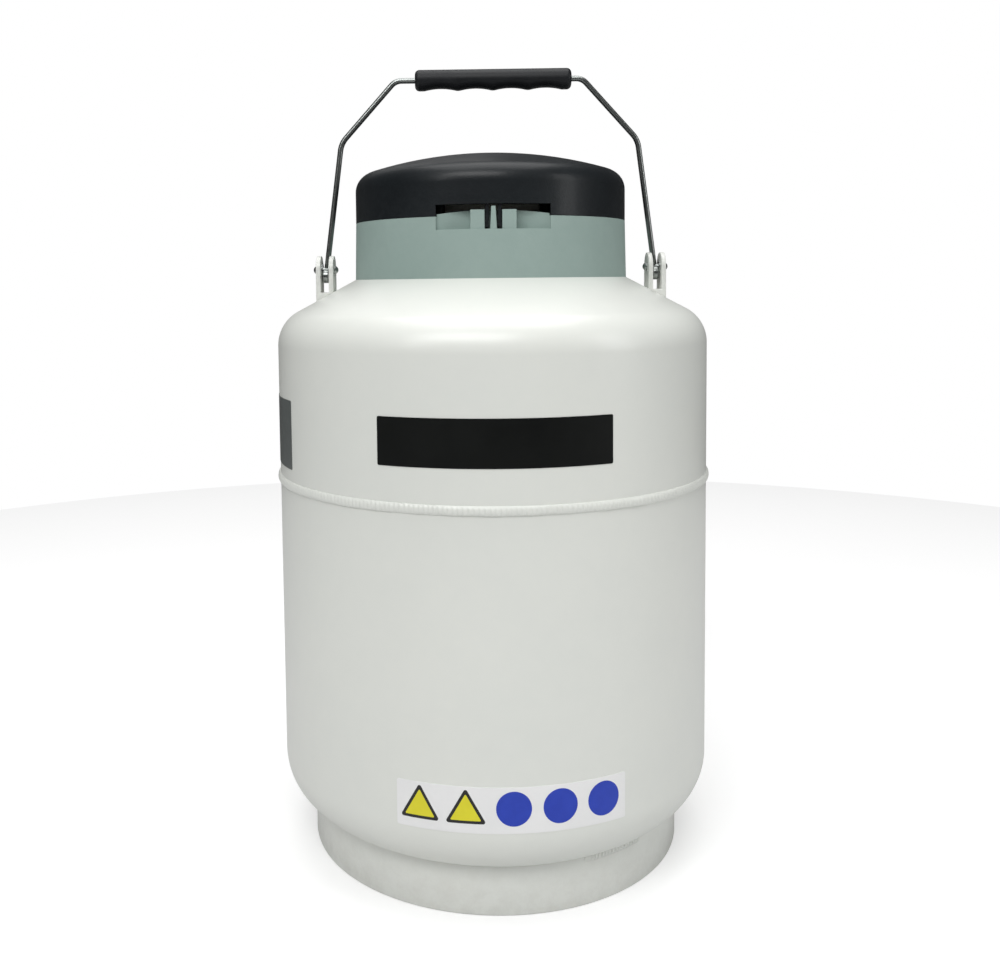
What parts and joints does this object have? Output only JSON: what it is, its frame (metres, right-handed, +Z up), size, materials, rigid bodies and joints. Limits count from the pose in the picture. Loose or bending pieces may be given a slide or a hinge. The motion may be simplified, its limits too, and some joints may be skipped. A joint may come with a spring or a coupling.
{
  "type": "liquid nitrogen dewar",
  "caption": "Small free-standing liquid nitrogen dewar: white aluminium vessel on a foot ring, grey neck collar, black lift-off lid with neck plug, wire bail with hand grip.",
  "frame": {"origin": "on the floor, under the middle of the foot ring", "axes": "+Z up along the vessel's axis, front with the lock window towards -Y, bail pivots along X"},
  "size_m": [0.2894, 0.2894, 0.514],
  "materials": {
    "shell_paint": "gloss",
    "bare_aluminium": "satin",
    "inner_aluminium": "satin",
    "neck_composite": "satin",
    "foil_wrap": "satin",
    "getter_cloth": "matte",
    "stainless": "satin",
    "bright_steel": "polished",
    "collar_grey": "satin",
    "lid_black": "satin",
    "grip_black": "satin",
    "plug_foam": "matte",
    "white_plastic": "satin",
    "seal_rubber": "matte",
    "bracket_paint": "gloss",
    "label_black": "gloss",
    "label_grey": "satin",
    "label_white": "gloss"
  },
  "bodies": {
    "vessel": {"bracket_left": "bracket_paint", "bracket_right": "bracket_paint", "canister_1": "stainless", "canister_2": "stainless", "canister_3": "stainless", "canister_4": "stainless", "canister_5": "stainless", "canister_6": "stainless", "canister_hook_1": "stainless", "canister_hook_2": "stainless", "canister_hook_3": "stainless", "canister_hook_4": "stainless", "canister_hook_5": "stainless", "canister_hook_6": "stainless", "canister_rack": "bare_aluminium", "collar": "collar_grey", "collar_screws": "stainless", "collar_studs": "bare_aluminium", "foot_ring": "shell_paint", "foot_stitch_welds": "shell_paint", "front_label": "label_black", "getter_packet": "getter_cloth", "girth_weld_bead": "shell_paint", "index_ring": "white_plastic", "inner_vessel_lower": "inner_aluminium", "inner_vessel_upper": "inner_aluminium", "inner_weld_bead": "inner_aluminium", "insulation_wrap": "foil_wrap", "neck_bottom_cuff": "bare_aluminium", "neck_top_ring": "bare_aluminium", "neck_tube": "neck_composite", "outer_shell_lower": "shell_paint", "outer_shell_upper": "shell_paint", "pivot_rivet_left": "bright_steel", "pivot_rivet_right": "bright_steel", "pivot_washers_left": "white_plastic", "pivot_washers_right": "white_plastic", "safety_label": "label_white", "side_label": "label_grey", "vacuum_plug_seal": "seal_rubber", "vacuum_port_cap": "lid_black", "vacuum_port_tube": "bare_aluminium", "vacuum_seal_plug": "bare_aluminium", "weld_backing_ring": "bare_aluminium"},
    "lid": {"lid_shell": "lid_black", "lid_base_plate": "white_plastic", "lid_plate_screws": "stainless", "lid_filler": "plug_foam", "lid_seal": "seal_rubber", "neck_plug": "plug_foam", "plug_rod": "stainless", "plug_washer": "stainless", "plug_nut": "stainless"},
    "bail": {"bail_wire": "stainless", "grip": "grip_black"}
  },
  "joints": [
    {"name": "lid_lift", "type": "slide", "parent": "vessel", "child": "lid", "axis": [0, 0, 1], "range_m": [0, 0.032]},
    {"name": "bail_swing", "type": "hinge", "parent": "vessel", "child": "bail", "pos_m": [0, 0, 0.3812], "axis": [1, 0, 0], "range_deg": [-96, 96]}
  ]
}
